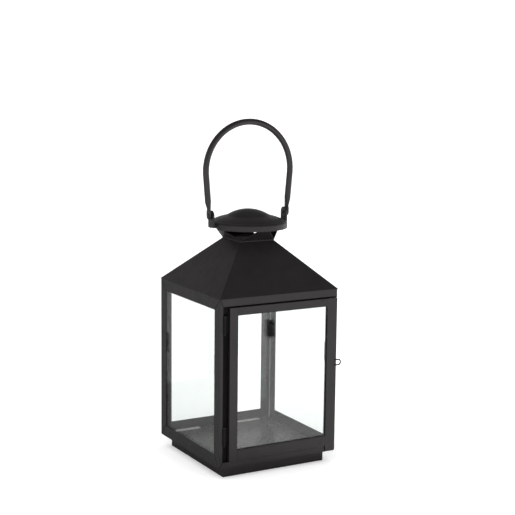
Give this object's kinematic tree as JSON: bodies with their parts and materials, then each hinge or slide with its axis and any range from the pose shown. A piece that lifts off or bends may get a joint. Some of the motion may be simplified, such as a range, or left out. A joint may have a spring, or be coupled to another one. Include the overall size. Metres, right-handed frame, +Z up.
{
  "type": "candle lantern",
  "caption": "Square glazed sheet-metal lantern with a hinged glass door, pyramid roof, vented neck, round cap and swinging bail handle on a recessed plinth.",
  "frame": {"origin": "centre of the underside of the square plinth", "axes": "+Z up through the cap; -Y is the door side; +X is the side of the door pull, -X the hinge side"},
  "size_m": [0.1667, 0.164, 0.4198],
  "materials": {
    "frame_paint": "satin black powder coat on folded sheet steel",
    "door_paint": "satin black powder coat on folded sheet steel",
    "roof_paint": "matt black powder coat on sheet steel",
    "cap_paint": "satin black powder coat on pressed steel",
    "floor_paint": "satin black paint, smoother than the outside",
    "handle_paint": "satin black powder coat on steel tube and strap",
    "inner_paint": "matt black paint, thin and dusty inside the folds",
    "fitting_paint": "satin black paint on small steel fittings",
    "clear_glass": "clear polished float glass, 2 mm"
  },
  "bodies": {
    "lantern": {"plinth_skirt": "frame_paint", "floor_plate": "floor_paint", "hinge_jamb": "inner_paint", "head_jamb": "inner_paint", "glass_left": "clear_glass", "glass_right": "clear_glass", "glass_back": "clear_glass", "post_front_left": "frame_paint", "post_front_right": "frame_paint", "post_back_left": "frame_paint", "post_back_right": "frame_paint", "bottom_rail_front": "frame_paint", "bottom_rail_back": "frame_paint", "bottom_rail_left": "frame_paint", "bottom_rail_right": "frame_paint", "top_rail_front": "frame_paint", "top_rail_back": "frame_paint", "top_rail_left": "frame_paint", "top_rail_right": "frame_paint", "glazing_clip_front_left": "inner_paint", "glazing_clip_front_right": "inner_paint", "glazing_clip_back_left": "inner_paint", "glazing_clip_back_right": "inner_paint", "roof_panel_front": "roof_paint", "roof_panel_back": "roof_paint", "roof_panel_left": "roof_paint", "roof_panel_right": "roof_paint", "vent_flap_front": "roof_paint", "vent_flap_back": "roof_paint", "vent_flap_left": "roof_paint", "vent_flap_right": "roof_paint", "chimney_cap": "cap_paint", "bail_strap": "handle_paint", "bail_rivet_left": "fitting_paint", "bail_rivet_right": "fitting_paint", "upper_hinge_frame_leaf": "inner_paint", "lower_hinge_frame_leaf": "inner_paint", "upper_hinge_pin": "fitting_paint", "lower_hinge_pin": "fitting_paint"},
    "door": {"door_hinge_stile": "door_paint", "door_bottom_rail": "door_paint", "door_top_rail": "door_paint", "door_latch_stile": "door_paint", "door_glass": "clear_glass", "door_rivets": "fitting_paint", "door_pull_loop": "fitting_paint", "upper_hinge_door_leaf": "inner_paint", "lower_hinge_door_leaf": "inner_paint"},
    "handle": {"bail_tube": "handle_paint", "bail_eye_left": "handle_paint", "bail_eye_right": "handle_paint"}
  },
  "joints": [
    {"name": "door_hinge", "type": "hinge", "parent": "lantern", "child": "door", "pos_m": [-0.0743, -0.0808, 0.1], "axis": [0, 0, -1], "range_deg": [0, 170]},
    {"name": "handle_pivot", "type": "hinge", "parent": "lantern", "child": "handle", "pos_m": [0, 0, 0.3039], "axis": [1, 0, 0], "range_deg": [-132, 132]}
  ]
}
